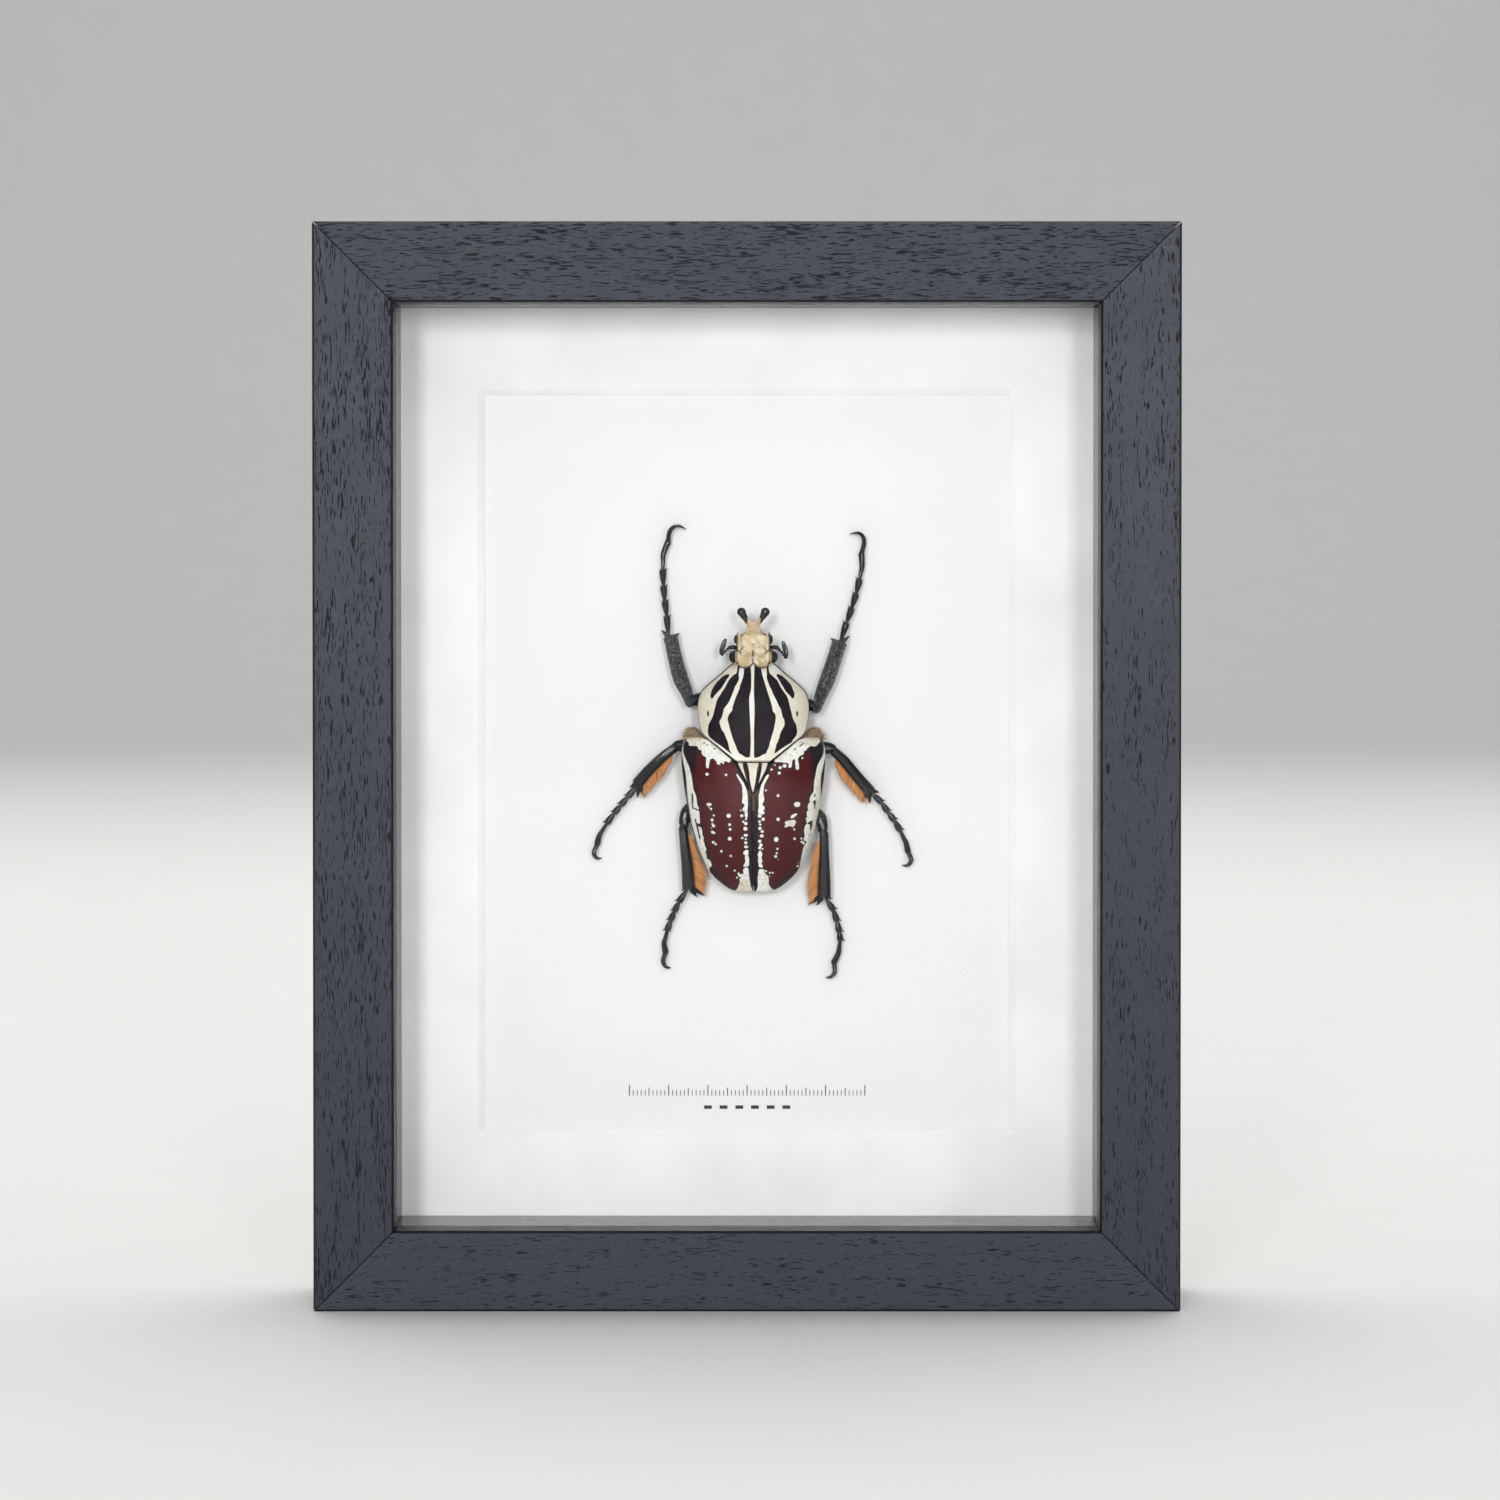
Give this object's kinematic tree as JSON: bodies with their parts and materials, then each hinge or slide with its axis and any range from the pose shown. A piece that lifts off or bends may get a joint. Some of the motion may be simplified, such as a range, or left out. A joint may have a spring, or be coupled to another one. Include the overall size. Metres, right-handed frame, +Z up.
{
  "type": "framed goliath beetle",
  "caption": "Upright black wooden box frame with glass, a white bevelled mat and a dry goliath beetle, legs spread, fixed on white card.",
  "frame": {"origin": "middle of the surface that the frame stands on, the lower side of the bottom rail", "axes": "+Z up the frame, +Y out of its back, -Y out of the glass, +X to the right of someone who looks at the glass"},
  "size_m": [0.215, 0.04, 0.27],
  "materials": {
    "frame_wood": "black stained open-grain wood, semi-matt",
    "pane": "clear pane",
    "spacer": "black painted strip, matt",
    "mat": "white mat board, matt",
    "card": "white card, matt",
    "back_board": "thin brown hardboard, matt",
    "tab_steel": "plain flat steel",
    "hanger_steel": "zinc-plated pressed steel",
    "underbody": "dark chitin with golden-brown fur at the shoulders",
    "pronotum": "satin chitin with black and cream stripes",
    "head": "cream chitin with black horn tips and lines",
    "scutellum": "satin chitin with black and cream stripes",
    "wing_cover": "satin maroon chitin with white spots and cream edges",
    "black_chitin": "glossy black chitin",
    "orange_hair": "stiff orange hair"
  },
  "bodies": {
    "root": {"rail_bottom": "frame_wood", "rail_top": "frame_wood", "rail_left": "frame_wood", "rail_right": "frame_wood", "tab_bottom_1": "tab_steel", "tab_bottom_2": "tab_steel", "tab_top_1": "tab_steel", "tab_top_2": "tab_steel", "tab_left_1": "tab_steel", "tab_left_2": "tab_steel", "tab_right_1": "tab_steel", "tab_right_2": "tab_steel", "glass": "pane", "spacer_bottom": "spacer", "spacer_top": "spacer", "spacer_left": "spacer", "spacer_right": "spacer", "mat_board": "mat", "backing_card": "card", "back_board": "back_board", "sawtooth_hanger": "hanger_steel", "hanger_rivet_1": "hanger_steel", "hanger_rivet_2": "hanger_steel", "underbody": "underbody", "pronotum": "pronotum", "head": "head", "antenna_left": "black_chitin", "antenna_right": "black_chitin", "scutellum": "scutellum", "wing_cover_left": "wing_cover", "wing_cover_right": "wing_cover", "fore_leg_left_femur": "black_chitin", "fore_leg_left_tibia": "black_chitin", "fore_leg_left_tarsus": "black_chitin", "fore_leg_right_femur": "black_chitin", "fore_leg_right_tibia": "black_chitin", "fore_leg_right_tarsus": "black_chitin", "middle_leg_left_femur": "black_chitin", "middle_leg_left_tibia": "black_chitin", "middle_leg_left_tarsus": "black_chitin", "middle_leg_left_fringe": "orange_hair", "middle_leg_right_femur": "black_chitin", "middle_leg_right_tibia": "black_chitin", "middle_leg_right_tarsus": "black_chitin", "middle_leg_right_fringe": "orange_hair", "hind_leg_left_femur": "black_chitin", "hind_leg_left_tibia": "black_chitin", "hind_leg_left_tarsus": "black_chitin", "hind_leg_left_fringe": "orange_hair", "hind_leg_right_femur": "black_chitin", "hind_leg_right_tibia": "black_chitin", "hind_leg_right_tarsus": "black_chitin", "hind_leg_right_fringe": "orange_hair"}
  },
  "joints": []
}
